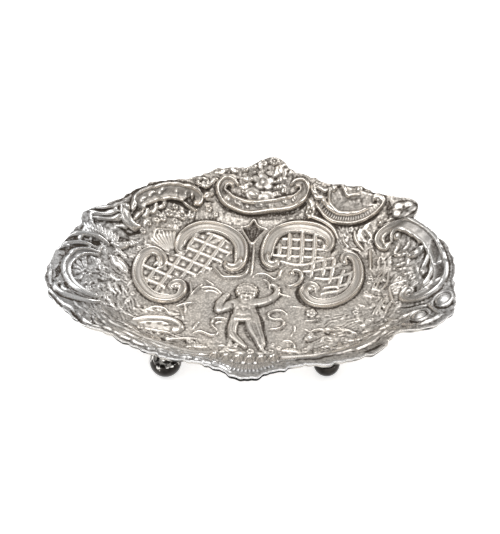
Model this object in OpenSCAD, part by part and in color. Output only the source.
// Bonbon dish: one oval sheet of silver, embossed with scrolls, flowers, two trellis panels and a
// cherub, with a lobed edge stiffened by a half-round wire, standing on four hollow ball feet.
// Millimetres. +Z is up, +X runs along the dish and -Y is the side seen first.
// The origin is on the table, under the middle of the outline.

/* [Dish] */
// Length of the plain oval that the lobed edge is drawn on
rim_l = 130; // [122:1:142]
// Width of that oval
rim_w = 95; // [90:1:104]
// Length of the flat floor
floor_l = 92; // [86:1:98]
// Width of the flat floor
floor_w = 58; // [54:1:62]
// Depth from the edge down to the floor
bowl_d = 11.6; // [10:0.1:13.5]
// Thickness of the sheet
sheet_t = 0.7; // [0.5:0.05:0.9]
// Reach of the largest lobe past the oval
lobe_reach = 7; // [5:0.5:8]

/* [Ornament] */
// Width of a moulded scroll at its foot
scroll_w = 4.4; // [3.6:0.1:5]
// Height of a scroll's crest above the sheet
scroll_h = 1.5; // [0.8:0.1:2]
// Height of a flower or bead above the sheet
flower_h = 1.3; // [0.6:0.1:1.8]
// Height of the cherub above the sheet
figure_h = 1.9; // [1:0.1:2.4]
// Height of the trellis bars above the sheet
trellis_h = 0.8; // [0.4:0.1:1.2]

/* [Rim wire] */
// Width of the half-round wire under the edge
wire_w = 2; // [1.6:0.1:2.6]
// Height of the half-round wire
wire_h = 1.2; // [0.8:0.1:1.6]

/* [Feet] */
// Diameter of the larger balls, at the front left and back right
big_foot_d = 10.6; // [10:0.1:11.2]
// Diameter of the smaller balls, at the front right and back left
small_foot_d = 8.9; // [8.5:0.1:9.4]
// Wall of a hollow ball
foot_wall = 0.8; // [0.6:0.05:1.2]
// Bearing of a larger foot from the long axis, seen from the middle of the oval
big_foot_angle = 49.5; // [47:0.5:52]
// Bearing of a smaller foot from the long axis
small_foot_angle = 46.5; // [44:0.5:49]
// Distance from the edge of the flat floor out to the seat of a smaller foot
seat_out = 3.4; // [3:0.1:4]
// Depth filed off the top of a ball to seat it on the sheet
seat_cut = 0.2; // [0.15:0.05:0.3]
// Diameter of the solder collar round a seat
collar_d = 3.9; // [3.6:0.1:4.2]
// Depth worn off each ball where it stands on the table
foot_wear = 0.15; // [0.1:0.05:0.3]
// Diameter of the vent drilled in the upper half of a ball
vent_d = 0.9; // [0.6:0.1:1.2]

/* [Hidden] */
$fn = 64;
// Finer rounding for the thin collars
collar_fn = 720;
sheet_colour = [0.76, 0.74, 0.71];
wire_colour = [0.70, 0.68, 0.65];
ball_colour = [0.36, 0.35, 0.34];
collar_colour = [0.62, 0.60, 0.56];

// Oval on which the ornament was drawn, and the place of its middle in that drawing
drawn_l = 130;
drawn_w = 95;
oval_x = 0.29;
oval_y = -1.44;

// Lobes of the edge: bearing, half width in degrees, and reach when the largest reaches drawn_reach
drawn_reach = 7;
lobes = [
    [346, 18, 6.0],
    [355, 7, -1.2],
    [7, 22, 3.8],
    [32, 8, 7.0],
    [39, 9, 2.5],
    [48, 5, 1.6],
    [61, 11, -2.0],
    [86, 12.5, 7.0],
    [104, 14, 1.2],
    [122, 14, -2.4],
    [149, 14, -1.4],
    [160, 6, 2.5],
    [193, 26, 6.0],
    [210, 6, 1.5],
    [250, 9, -1.0],
    [270, 95, -1.1],
    [271, 14, 3.6],
    [294, 10, -1.5],
    [317, 9, 0.6],
    [331, 9, -3.2],
];

// Share of the radius at which the lobes start to show
lobe_start = 0.7;
// Shares of the wall curve: one part ends level at the edge, the other keeps rising
level_part = 0.7;
rising_part = 0.3;
// Distance over which the ornament fades out towards the plain edge band
fade_w = 1.6;
// Rings of facets from the middle of the sheet to the edge band
rings = 29;
// Facets round the lower half of the wire section
wire_steps = 4;
// Margin of the flat pad on the underside past the collar, wider than one facet
pad_margin = 2;
// Lean of the vent from upright, towards the middle of the dish
vent_lean = 60;
// Furthest seat and number of halvings when a seat is looked for
out_limit = 10;
out_steps = 40;
// Distance at which the ornament is averaged, about a third of a facet
soft_w = 0.7;
// Section of a moulded scroll: half widths of its crest and inner ridge as shares of the whole width,
// and heights of the inner ridge and of the hollow as shares of the crest
crest_part = 0.26;
inner_part = 0.15;
inner_up = 0.72;
hollow_up = 0.4;
// Width share left at the curled ends of a scroll, and how fast the full width comes back
end_part = 0.35;
end_rate = 3;
// Widest half width of any stroke or scroll, for passing over those that are far away
stroke_reach = 6.2;
// Bars of the trellis panels: spacing and half width
trellis_pitch = 5;
trellis_half = 1.2;
// Step for measuring the slope of the wall
slope_step = 0.02;

// Moulded scrolls: width share, height share, side of the hollow (1 left of the line, -1 right), line of
// the crest
scrolls = [
    // Upper and lower scrolls of the left trellis panel, with their curled ends
    [
        1.2, 1, -1,
        [
            [-24.6, 14], [-26.4, 12.8], [-27.8, 15], [-28, 18.4], [-27.1, 22], [-24.8, 25.3],
            [-21, 27.6], [-17, 28.3], [-13, 27.7], [-9, 25.8], [-5.8, 22.9], [-3.7, 19], [-3, 14.6],
            [-3.3, 10.2], [-4.7, 7], [-7.2, 5.7], [-9.6, 6.7], [-10.4, 9],
        ],
    ],
    [
        1, 1, 1,
        [
            [-33.4, 4.7], [-31.4, 5.4], [-30.6, 7.9], [-31.3, 11], [-33.4, 13.5], [-36.2, 14.5],
            [-38.9, 13.1], [-40.7, 10], [-41.5, 5.5], [-41.1, 1], [-39.6, -3], [-37, -6.8],
            [-33.5, -9.6], [-29.5, -10.5], [-26, -9.8], [-23.7, -7.8], [-22.7, -5], [-23.1, -2],
            [-25, -0.4], [-27.3, -1], [-28.5, -3],
        ],
    ],
    // Upper and lower scrolls of the right trellis panel, with their curled ends
    [
        1.2, 1, -1,
        [
            [8.5, 11.4], [8.4, 9.3], [6.8, 8], [4.6, 8.8], [2.9, 11.6], [2.5, 15.8], [3.1, 20.4],
            [4.5, 24.4], [7, 27.5], [10, 29.3], [14, 30.1], [18, 29.8], [22, 28.8], [25.5, 26.6],
            [27.2, 23.6], [27.1, 20.4], [25.9, 17.8], [24.4, 17.2],
        ],
    ],
    [
        1, 1, -1,
        [
            [31.6, 11.8], [30.4, 13.4], [30.7, 15.6], [32.6, 16.9], [34.8, 16.1], [36.4, 14],
            [37.4, 11], [37.8, 7], [37.4, 3], [36, -1], [33.6, -4.5], [30.5, -7], [26.5, -8.7],
            [22.5, -8.8], [19.5, -7.5], [17.6, -5], [16.9, -2.5], [17.8, 0], [19.8, 1.6], [22, 1.1],
            [22.9, -0.7],
        ],
    ],
    // Cartouche under the back lobe
    [
        1.03, 1, 1,
        [
            [-6.8, 41], [-8.2, 42.4], [-10.6, 42.8], [-13, 42], [-14.9, 40.2], [-15.2, 38],
            [-14, 36.2], [-11.4, 34.7], [-8, 33.9], [-4, 33.2], [0, 33.6], [4, 34.1], [8, 34.2],
            [12, 34.6], [15.4, 35.8], [17.4, 38], [17.5, 40.4], [16, 42.4], [13.4, 42.9], [11.4, 41.8],
        ],
    ],
    // Scroll at the back right
    [
        1, 1, 1,
        [
            [21.6, 34.4], [24.2, 31.6], [28, 29.5], [32, 28.4], [36, 28.3], [40, 29.4], [43, 31.4],
            [44.6, 33.4], [43.8, 35.4], [41.8, 35.8], [40.4, 34.2],
        ],
    ],
    // Scroll round the right end
    [
        1.3, 1, -1,
        [
            [47.2, 19.4], [46.2, 17.8], [44.2, 18.1], [42.6, 20.2], [42.4, 22.8], [44, 25.2],
            [47.2, 26.3], [51, 25.7], [55, 23.6], [59.2, 20.4], [62.4, 16.2], [64.8, 10.6], [65.9, 5],
            [65.6, -0.4], [63.8, -5], [60.8, -8], [57, -8.9], [53.2, -8.1], [50.8, -5.8], [51, -2.6],
            [53.2, -0.6], [55.6, -1.4],
        ],
    ],
    // Double scroll at the back left
    [
        1.2, 1, 1,
        [
            [-23.6, 33.2], [-21.4, 33.6], [-21.4, 35.6], [-24, 37], [-28, 37.3], [-32, 36.8],
            [-36, 35.7], [-40, 33.5], [-43, 30.7], [-44.4, 28], [-46.4, 25], [-48.6, 22.2],
            [-52, 20.4], [-56, 19.3], [-58.6, 18],
        ],
    ],
    // Scrolls round the left end
    [
        0.86, 0.97, 1,
        [
            [-52.6, 7], [-56.4, 6.2], [-60.4, 3.6], [-63, 0.2], [-64, -4], [-63, -8], [-60.6, -11],
            [-57, -12.6], [-53, -12.8], [-50.4, -11.4],
        ],
    ],
    [
        0.86, 0.87, 1,
        [
            [-61.4, -13.6], [-63.6, -12.4], [-64.4, -14.4], [-62.8, -16.6], [-59, -17.6], [-55, -17.2],
            [-51, -15.2],
        ],
    ],
    // Small scroll at the front left and the long border scrolls of the front
    [
        0.8, 0.77, -1,
        [
            [-39, -22], [-36, -18.8], [-31, -17], [-26, -17.6], [-22, -19.8], [-21.6, -22.6],
            [-24.4, -24], [-27, -22.8],
        ],
    ],
    [
        1, 0.9, -1,
        [
            [7.4, -30.8], [10, -33], [14.6, -34.3], [22, -34.2], [30, -32.8], [38, -30], [44, -25.6],
            [49.6, -20.4],
        ],
    ],
    [
        1, 0.9, 1,
        [
            [-9.6, -31.2], [-13, -33.2], [-18, -34.4], [-25, -33.8], [-33, -32], [-40, -29.2],
            [-46, -25.4], [-50, -21.2],
        ],
    ],
];

// Plain strokes: half width, height share of a scroll, line
strokes = [
    // Curled bulbs of the two panels, and the small scroll beside the right one
    [1.2, 1.1, [[-9.9, 9.6], [-8.8, 7.8], [-6.6, 7.6], [-5, 9.4], [-4.8, 12]]],
    [1.2, 1.07, [[7.9, 11.8], [7, 10], [5.4, 10], [4.6, 12], [4.6, 15]]],
    [1.1, 0.77, [[-34.6, 6.4], [-33, 8.4], [-34, 11]]],
    [0.9, 0.67, [[13, 5.5], [14.2, 7.3], [16.4, 6.6], [16.9, 3.9], [15.6, 1], [13, -0.4], [11.4, 0.8]]],
    [0.9, 0.63, [[17.8, 32], [21.5, 30.9], [24.8, 29.2], [27.4, 27], [29, 23.6]]],
    // Fan and stem between the panels, and the ribbon under them
    [0.9, 0.63, [[-5.4, 25.6], [-3.8, 28], [-1.7, 30.2], [0, 28.5], [1.6, 26.5], [3.2, 25.4]]],
    [0.8, 0.5, [[-0.6, 19.5], [-0.5, 12], [-0.6, 4.5]]],
    [0.8, 0.5, [[-14.4, 7.8], [-12.4, 5], [-10.2, 2.5], [-7, 2.6], [-4, 3.1], [-1.9, 7.2]]],
    [0.8, 0.5, [[0.1, 3.2], [1.4, 4.5], [3.4, 4.8], [5.2, 4.2], [7.6, 2.4], [8.9, 3.6], [11.8, 9.4]]],
    // Leaves and ridges of the back wall
    [1.3, 0.73, [[-2, 43], [-8, 43.6]]],
    [1.3, 0.73, [[5, 42.4], [8.8, 41.4]]],
    [1.3, 0.73, [[5, 45], [10.4, 44.4]]],
    [1, 0.77, [[25.2, 39], [25, 36.8], [26, 34.6], [28.2, 32.9]]],
    [1.2, 0.7, [[30, 39.6], [33.4, 36.4], [36.4, 35.8]]],
    [1.6, 0.75, [[35.2, 26.6], [35.6, 22], [39, 18.4]]],
    [2.2, 1.05, [[-42, 28.4], [-44.8, 25.4], [-46.8, 21.8]]],
    [1, 0.7, [[-48, 20], [-41.4, 21.6]]],
    [0.9, 0.6, [[-58.4, 21], [-54.4, 21.4], [-50.4, 23.2]]],
    // Ridges inside and below the scroll of the right end
    [0.9, 0.83, [[47.8, 20.8], [48.4, 22.6], [51, 22.8], [54.2, 20.9], [56.8, 18], [58, 15]]],
    [1.2, 0.6, [[58.6, 9.6], [51.4, 8]]],
    [1.2, 0.6, [[59.6, 4.8], [53.6, 3.8]]],
    [0.9, 0.6, [[53, -23], [57.6, -23.2], [61.6, -21.6], [64.6, -18]]],
    // Ridges and leaves of the left end
    [1, 0.83, [[-50.4, 12], [-55, 11.4], [-60, 9], [-64.2, 5.4], [-66.6, 1]]],
    [0.9, 0.67, [[-53.8, 9], [-58.6, 7.6], [-62.8, 4.4], [-65.6, 0]]],
    [1.7, 0.65, [[-50.6, 12.4], [-44.6, 15.6]]],
    [1.9, 0.65, [[-50, 6], [-43.8, 6.4]]],
    [1.2, 0.55, [[-49, 1], [-44.4, 1.6]]],
    // Outer ridges of the front wall
    [0.9, 0.6, [[12, -39.4], [19, -39], [28, -37.4], [37, -34.4], [45, -29.8]]],
    [0.9, 0.6, [[-12, -39.6], [-20, -39], [-29, -37.2], [-38, -34], [-45.4, -29.6]]],
];

// Flowers and beads as round bosses: centre x, centre y, radius
flowers = [
    [1.6, 43.8, 4.4],
    [4.3, 50.9, 2.2],
    [-2.2, 38.8, 1.7],
    [2.2, 38.8, 1.8],
    [-20.4, 39.4, 2.4],
    [51, 30.8, 4.3],
    [43.7, 27.3, 1.6],
    [64.2, -11.4, 3],
    [57.2, -16.6, 3],
    [56.4, 13.2, 2],
    [45.8, 18.6, 1.7],
    [-47.4, 23.2, 1.8],
    [-57.4, -1.4, 2.9],
    [-55.4, -6.6, 2.3],
    [-53.2, 2.6, 2],
    [21, -22.6, 2],
    [20.9, -12.2, 2.2],
    [0.8, -34.4, 2.2],
];

// Fluted fans as sectors: centre x, centre y, near radius, far radius, first bearing, last bearing
fans = [
    [-28.3, 11, 3.6, 12.6, 97, 138],
    [-52.4, 4, 8, 13.6, 78, 128],
    [0.8, -33.4, 2.6, 10.6, 236, 304],
];
// Height of a fan as a share of a scroll
fan_up = 0.45;

// Trellis panels: bearings of the two rows of bars, a crossing, outline
panels = [
    [
        68, -26, [-13.1, 16.2],
        [
            [-24.4, 13], [-24, 19], [-21.4, 22.8], [-17, 23.8], [-12, 22], [-8.6, 18.4], [-8, 14],
            [-11.2, 11.6], [-11.2, 8], [-14, 7], [-15.4, 4], [-18.4, 4], [-20, 1.6], [-27, 1.6],
            [-29.6, -1], [-29.6, -7.4], [-33, -6.8], [-37, -3], [-39, 2], [-38, 7], [-33.4, 4.4],
            [-31, 6], [-31, 11], [-27.4, 12.4],
        ],
    ],
    [
        90, 0, [16.3, 18.2],
        [
            [6.4, 12.4], [7, 18], [9.4, 23], [13.4, 25.8], [18.4, 26.2], [22.4, 24.6], [23.6, 20],
            [24, 15.6], [28, 14], [29.6, 9], [33, 8.4], [35, 4.4], [33, 0], [28.6, -4.4], [24.6, -4],
            [24.4, 1.4], [19.6, 4.6], [17.8, 8.6], [9.6, 10.8],
        ],
    ],
];

// Cherub as body and limbs: half width, height share, line
figure = [
    [4.3, 0.92, [[-2, -10], [-1.8, -14], [-1.2, -17]]],
    [3.9, 1.1, [[-1.7, -2.9], [-1.7, -4.4]]],
    [2, 0.74, [[-5.6, -10.2], [-8.4, -11.8], [-10.2, -12.6]]],
    [1.7, 0.68, [[-10.2, -12.4], [-9.8, -9.4], [-8.6, -6.6]]],
    [1.7, 0.74, [[1, -9], [4.4, -8.3], [6.9, -6.9]]],
    [1.4, 0.66, [[6.9, -6.9], [8.6, -4.6], [8.8, -2.6], [8.1, -0.9]]],
    [2, 0.72, [[-4.4, -17.8], [-5.2, -21], [-5.3, -24.6]]],
    [1.5, 0.66, [[-5.2, -24.8], [-3.2, -26.8], [-0.5, -29], [0.6, -30.8]]],
    [2.6, 0.78, [[1.8, -18], [2.8, -22], [4.4, -25.8]]],
    [1.7, 0.68, [[4.4, -25.8], [5.4, -28.6], [5.4, -30.4], [6.2, -31]]],
];

function total(v) = v * [for (i = v) 1];
function smooth(t) = let (c = min(1, max(0, t))) c * c * (3 - 2 * c);

// Plan outline
function oval_r(l, w, t) = 1 / norm([2 * cos(t) / l, 2 * sin(t) / w]);
function lobe_gap(t, l) = abs((t - l[0] + 540) % 360 - 180);
function lobe_r(t, l) = let (d = lobe_gap(t, l)) d < l[1] ? l[2] / 2 * (1 + cos(180 * d / l[1])) : 0;
function edge_r(t) =
    oval_r(rim_l, rim_w, t) + lobe_reach / drawn_reach * total([for (l = lobes) lobe_r(t, l)]);
function plan_r(u, t) =
    let (r = oval_r(rim_l, rim_w, t))
    u * r + (edge_r(t) - r) * smooth((u - lobe_start) / (1 - lobe_start));

// Height of the wall above the floor, at radius r on the plain oval, and its slope along the radius
function wall_z(r, t) =
    let (
        inner = oval_r(floor_l, floor_w, t),
        outer = oval_r(rim_l, rim_w, t),
        s = min(1, max(0, (r - inner) / (outer - inner)))
    )
    bowl_d * (level_part * smooth(s) + rising_part * s * s);
function wall_slope(r, t) = (wall_z(r, t) - wall_z(r - slope_step, t)) / slope_step;
function wall_z_at(p) = wall_z(norm(p), atan2(p.y, p.x));
function wall_grad(p) =
    [
        wall_z_at(p + [slope_step, 0]) - wall_z_at(p - [slope_step, 0]),
        wall_z_at(p + [0, slope_step]) - wall_z_at(p - [0, slope_step]),
    ] / (2 * slope_step);

// Ornament
function swell(d, w) = d < w ? cos(90 * d / w) : 0;
function seg_gap(q, a, b) =
    let (
        v = b - a,
        s = min(1, max(0, (q - a) * v / (v * v)))
    )
    norm(q - a - s * v);
function seg_side(q, a, b) = (b.x - a.x) * (q.y - a.y) > (b.y - a.y) * (q.x - a.x) ? 1 : -1;
function gaps_to(q, line) = [for (i = [0:len(line) - 2]) seg_gap(q, line[i], line[i + 1])];
// Box round a line, widened by the reach of a stroke
function reach_box(line) =
    [
        min([for (p = line) p.x]) - stroke_reach,
        max([for (p = line) p.x]) + stroke_reach,
        min([for (p = line) p.y]) - stroke_reach,
        max([for (p = line) p.y]) + stroke_reach,
    ];
function in_box(q, b) = q.x > b[0] && q.x < b[1] && q.y > b[2] && q.y < b[3];
scroll_boxes = [for (s = scrolls) reach_box(s[3])];
stroke_boxes = [for (s = strokes) reach_box(s[2])];
figure_boxes = [for (s = figure) reach_box(s[2])];

// A moulded scroll: crest, hollow beside it and thin inner ridge, narrower at the ends of its line
function scroll_up(q, s) =
    let (
        line = s[3],
        gaps = gaps_to(q, line),
        gap = min(gaps),
        i = search(gap, gaps)[0],
        share = (i + 0.5) / (len(line) - 1),
        grow = min(1, end_part + end_rate * min(share, 1 - share)),
        wide = grow * scroll_w * s[0],
        crest = crest_part * scroll_w * sqrt(grow),
        inner = inner_part * scroll_w,
        across = gap * s[2] * seg_side(q, line[i], line[i + 1]),
        ridge_at = max(0, wide - crest - inner)
    )
    scroll_h * s[1] * max(
        swell(gap, crest),
        inner_up * swell(abs(across - ridge_at), inner),
        across > 0 && across < ridge_at ? hollow_up : 0
    );
function stroke_up(q, s, high) = high * s[1] * swell(min(gaps_to(q, s[2])), s[0]);
function fan_gap(q, f) = norm(q - [f[0], f[1]]);
function in_fan(q, f) =
    let (t = (atan2(q.y - f[1], q.x - f[0]) - f[4] + 720) % 360)
    fan_gap(q, f) > f[2] && fan_gap(q, f) < f[3] && t < f[5] - f[4];
function inside(q, shape) =
    len([
        for (i = [0:len(shape) - 1])
            let (
                a = shape[i],
                b = shape[(i + 1) % len(shape)]
            )
            if ((a.y > q.y) != (b.y > q.y) && q.x < (b.x - a.x) * (q.y - a.y) / (b.y - a.y) + a.x) 1
    ]) % 2 == 1;
function bar_gap(q, at, t) =
    let (away = ((q.y - at.y) * cos(t) - (q.x - at.x) * sin(t)) / trellis_pitch)
    trellis_pitch * abs(away - round(away));
function panel_up(q, p) =
    inside(q, p[3])
        ? trellis_h * max([for (t = [p[0], p[1]]) swell(bar_gap(q, p[2], t), trellis_half)])
        : 0;
function highest(v) = max(concat([0], v));
function relief(q) =
    highest(concat(
        [for (i = [0:len(scrolls) - 1]) if (in_box(q, scroll_boxes[i])) scroll_up(q, scrolls[i])],
        [for (i = [0:len(strokes) - 1]) if (in_box(q, stroke_boxes[i])) stroke_up(q, strokes[i], scroll_h)],
        [for (i = [0:len(figure) - 1]) if (in_box(q, figure_boxes[i])) stroke_up(q, figure[i], figure_h)],
        [for (f = flowers) flower_h * swell(norm(q - [f[0], f[1]]), f[2])],
        [for (f = fans) if (in_fan(q, f)) fan_up * scroll_h],
        [for (p = panels) panel_up(q, p)]
    ));

// Seats of the feet, counted back right, back left, front left, front right
foot_rs = [big_foot_d / 2, small_foot_d / 2, big_foot_d / 2, small_foot_d / 2];
foot_bearings = [
    big_foot_angle,
    180 - small_foot_angle,
    180 + big_foot_angle,
    360 - small_foot_angle,
];
function seat_plan(t, out) = (oval_r(floor_l, floor_w, t) + out) * [cos(t), sin(t)];
// Height of a ball's centre above the floor when its seat lies this far out
function ball_up(t, out, r) =
    let (
        p = seat_plan(t, out),
        tilt = atan(norm(wall_grad(p)))
    )
    wall_z_at(p) - sheet_t / cos(tilt) - (r - seat_cut) * cos(tilt);
floor_z = foot_rs[1] - foot_wear - ball_up(foot_bearings[1], seat_out, foot_rs[1]);
// A larger ball meets the sheet further up the wall: its seat is found by halving the range
function out_for(t, r, low, high, steps) =
    let (mid = (low + high) / 2)
    steps == 0
        ? mid
        : floor_z + ball_up(t, mid, r) < r - foot_wear
            ? out_for(t, r, mid, high, steps - 1)
            : out_for(t, r, low, mid, steps - 1);
seat_plans = [
    for (i = [0:3])
        seat_plan(foot_bearings[i], out_for(foot_bearings[i], foot_rs[i], 0, out_limit, out_steps))
];
seat_grads = [for (p = seat_plans) wall_grad(p)];
seat_tilts = [for (g = seat_grads) atan(norm(g))];
seat_turns = [for (g = seat_grads) atan2(g.y, g.x)];
seat_zs = [for (i = [0:3]) floor_z + wall_z_at(seat_plans[i]) - sheet_t / cos(seat_tilts[i])];
seat_drops = [for (r = foot_rs) r - seat_cut];
collar_r = collar_d / 2;
function collar_h(i) = seat_drops[i] - sqrt(foot_rs[i] * foot_rs[i] - collar_r * collar_r);
pad_r = collar_r + pad_margin;

// Grid of the sheet: ring k holds 6 * k points, and the edge band repeats the last ring
ring_count = 6 * rings;
grid_count = 1 + 3 * rings * (rings + 1);
sheet_count = grid_count + ring_count;
function ring_start(k) = k == 0 ? 0 : 1 + 3 * k * (k - 1);
function bearing(k, j) =
    let (a = k == 0 ? 0 : 60 * j / k)
    atan2(rim_w * sin(a), rim_l * cos(a));
grid = concat(
    [[0, 0]],
    [
        for (k = [1:rings], j = [0:6 * k - 1])
            let (t = bearing(k, j))
            [k / rings * (1 - wire_w / edge_r(t)), t]
    ],
    [for (j = [0:ring_count - 1]) [1, bearing(rings, j)]]
);
plan = [for (g = grid) plan_r(g[0], g[1]) * [cos(g[1]), sin(g[1])]];
edge_plan = [for (j = [grid_count:sheet_count - 1]) plan[j]];
mid_x = (min([for (p = edge_plan) p.x]) + max([for (p = edge_plan) p.x])) / 2;
mid_y = (min([for (p = edge_plan) p.y]) + max([for (p = edge_plan) p.y])) / 2;
shift = [-mid_x, -mid_y];

// Ornament averaged over a point and six neighbours, so that the facets follow it without steps
function mean(v) = total(v) / len(v);
function soft_relief(q) =
    mean(concat(
        [relief(q)],
        [for (a = [0:60:300]) relief(q + soft_w * [cos(a), sin(a)])]
    ));
function drawn(p) = [p.x * drawn_l / rim_l + oval_x, p.y * drawn_w / rim_w + oval_y];
function ornament(i) =
    let (room = edge_r(grid[i][1]) - norm(plan[i]) - wire_w)
    soft_relief(drawn(plan[i])) * smooth(room / fade_w);
function plain_r(i) = grid[i][0] * oval_r(rim_l, rim_w, grid[i][1]);
function sheet_drop(i) = sheet_t * norm([1, wall_slope(plain_r(i), grid[i][1])]);
function on_pad(p) = [for (i = [0:3]) if (norm(p - seat_plans[i]) < pad_r) i];
function pad_z(p, i) = seat_zs[i] + seat_grads[i] * (p - seat_plans[i]);

function plain_z(i) = floor_z + wall_z(plain_r(i), grid[i][1]);
function top_z(i) = plain_z(i) + ornament(i);
function under_z(i, top) =
    let (pads = on_pad(plan[i]))
    len(pads) > 0 ? pad_z(plan[i], pads[0]) : top - sheet_drop(i);
function at(i, z) = [plan[i].x + shift.x, plan[i].y + shift.y, z];

// Facets of one face of the sheet, seen clockwise from above
function ring_point(k, j) = k == 0 ? 0 : ring_start(k) + j % (6 * k);
outer_facets = [
    for (k = [1:rings], s = [0:5], i = [0:k - 1])
        [
            ring_point(k - 1, s * (k - 1) + i),
            ring_point(k, s * k + i + 1),
            ring_point(k, s * k + i),
        ]
];
inner_facets = [
    for (k = [2:rings], s = [0:5], i = [0:k - 2])
        [
            ring_point(k - 1, s * (k - 1) + i),
            ring_point(k - 1, s * (k - 1) + i + 1),
            ring_point(k, s * k + i + 1),
        ]
];
band_start = ring_start(rings);
band_facets = [
    for (j = [0:ring_count - 1])
        let (n = (j + 1) % ring_count)
        each [
            [band_start + j, band_start + n, grid_count + n],
            [band_start + j, grid_count + n, grid_count + j],
        ]
];
face_facets = concat(outer_facets, inner_facets, band_facets);
edge_facets = [
    for (j = [0:ring_count - 1])
        let (n = (j + 1) % ring_count)
        each [
            [grid_count + j, grid_count + n, sheet_count + grid_count + n],
            [grid_count + j, sheet_count + grid_count + n, sheet_count + grid_count + j],
        ]
];

// Embossed sheet with its lobed edge
module dish_body() {
    tops = [for (i = [0:sheet_count - 1]) top_z(i)];
    color(sheet_colour)
        polyhedron(
            points = concat(
                [for (i = [0:sheet_count - 1]) at(i, tops[i])],
                [for (i = [0:sheet_count - 1]) at(i, under_z(i, tops[i]))]
            ),
            faces = concat(
                face_facets,
                [for (f = face_facets) [f[0] + sheet_count, f[2] + sheet_count, f[1] + sheet_count]],
                edge_facets
            )
        );
}

// Half-round wire soldered under the edge band, its flat top against the sheet
section_count = wire_steps + 1;
function band_point(i) = at(i, plain_z(i) - sheet_drop(i));
function wire_point(j, i) =
    let (
        a = 180 * i / wire_steps,
        near = band_point(band_start + j),
        far = band_point(grid_count + j),
        share = (1 - cos(a)) / 2
    )
    near + share * (far - near) - [0, 0, wire_h * sin(a)];
wire_points = [
    for (j = [0:ring_count - 1], i = [0:wire_steps])
        wire_point(j, i)
];
wire_facets = [
    for (j = [0:ring_count - 1], i = [0:wire_steps])
        let (
            n = (j + 1) % ring_count,
            m = (i + 1) % section_count,
            a = j * section_count + i,
            b = n * section_count + i,
            c = n * section_count + m,
            d = j * section_count + m
        )
        each (i == wire_steps ? [[d, c, a], [c, b, a]] : [[a, d, b], [d, c, b]])
];
module rim_wire()
    color(wire_colour)
        polyhedron(points = wire_points, faces = wire_facets);

// Frame of a seat: its Z leaves the sheet upwards and the ball hangs below
module at_seat(i)
    translate([seat_plans[i].x + shift.x, seat_plans[i].y + shift.y, seat_zs[i]])
        rotate([0, -seat_tilts[i], seat_turns[i]])
            children();

module at_ball(i)
    at_seat(i)
        translate([0, 0, -seat_drops[i]])
            rotate([0, seat_tilts[i], 0])
                children();

module ball_shell(r)
    difference() {
        sphere(r = r);
        sphere(r = r - foot_wall);
    }

module half_space(r, up)
    translate([-2 * r, -2 * r, up ? 0 : -4 * r])
        cube(4 * r);

module ball_top(i)
    color(ball_colour)
        difference() {
            at_ball(i) ball_shell(foot_rs[i]);
            at_ball(i) half_space(foot_rs[i], false);
            at_seat(i) half_space(foot_rs[i], true);
            at_ball(i)
                rotate([0, -vent_lean, 0])
                    cylinder(h = 2 * foot_rs[i], d = vent_d);
        }

// The lower half is turned from its section, with the worn flat level with the table
module ball_base(i)
    color(ball_colour)
        at_ball(i)
            rotate_extrude()
                intersection() {
                    difference() {
                        circle(r = foot_rs[i]);
                        circle(r = foot_rs[i] - foot_wall);
                    }
                    translate([0, foot_wear - foot_rs[i]])
                        square([foot_rs[i], foot_rs[i] - foot_wear]);
                }

module seat_collar(i)
    color(collar_colour)
        at_seat(i)
            rotate_extrude($fn = collar_fn)
                difference() {
                    translate([0, -collar_h(i)])
                        square([collar_r, collar_h(i)]);
                    translate([0, -seat_drops[i]])
                        circle(r = foot_rs[i], $fn = collar_fn);
                }

module back_right_foot_top() ball_top(0);
module back_right_foot_base() ball_base(0);
module back_right_foot_collar() seat_collar(0);
module back_left_foot_top() ball_top(1);
module back_left_foot_base() ball_base(1);
module back_left_foot_collar() seat_collar(1);
module front_left_foot_top() ball_top(2);
module front_left_foot_base() ball_base(2);
module front_left_foot_collar() seat_collar(2);
module front_right_foot_top() ball_top(3);
module front_right_foot_base() ball_base(3);
module front_right_foot_collar() seat_collar(3);

dish_body();
rim_wire();
back_right_foot_top();
back_right_foot_base();
back_right_foot_collar();
back_left_foot_top();
back_left_foot_base();
back_left_foot_collar();
front_left_foot_top();
front_left_foot_base();
front_left_foot_collar();
front_right_foot_top();
front_right_foot_base();
front_right_foot_collar();
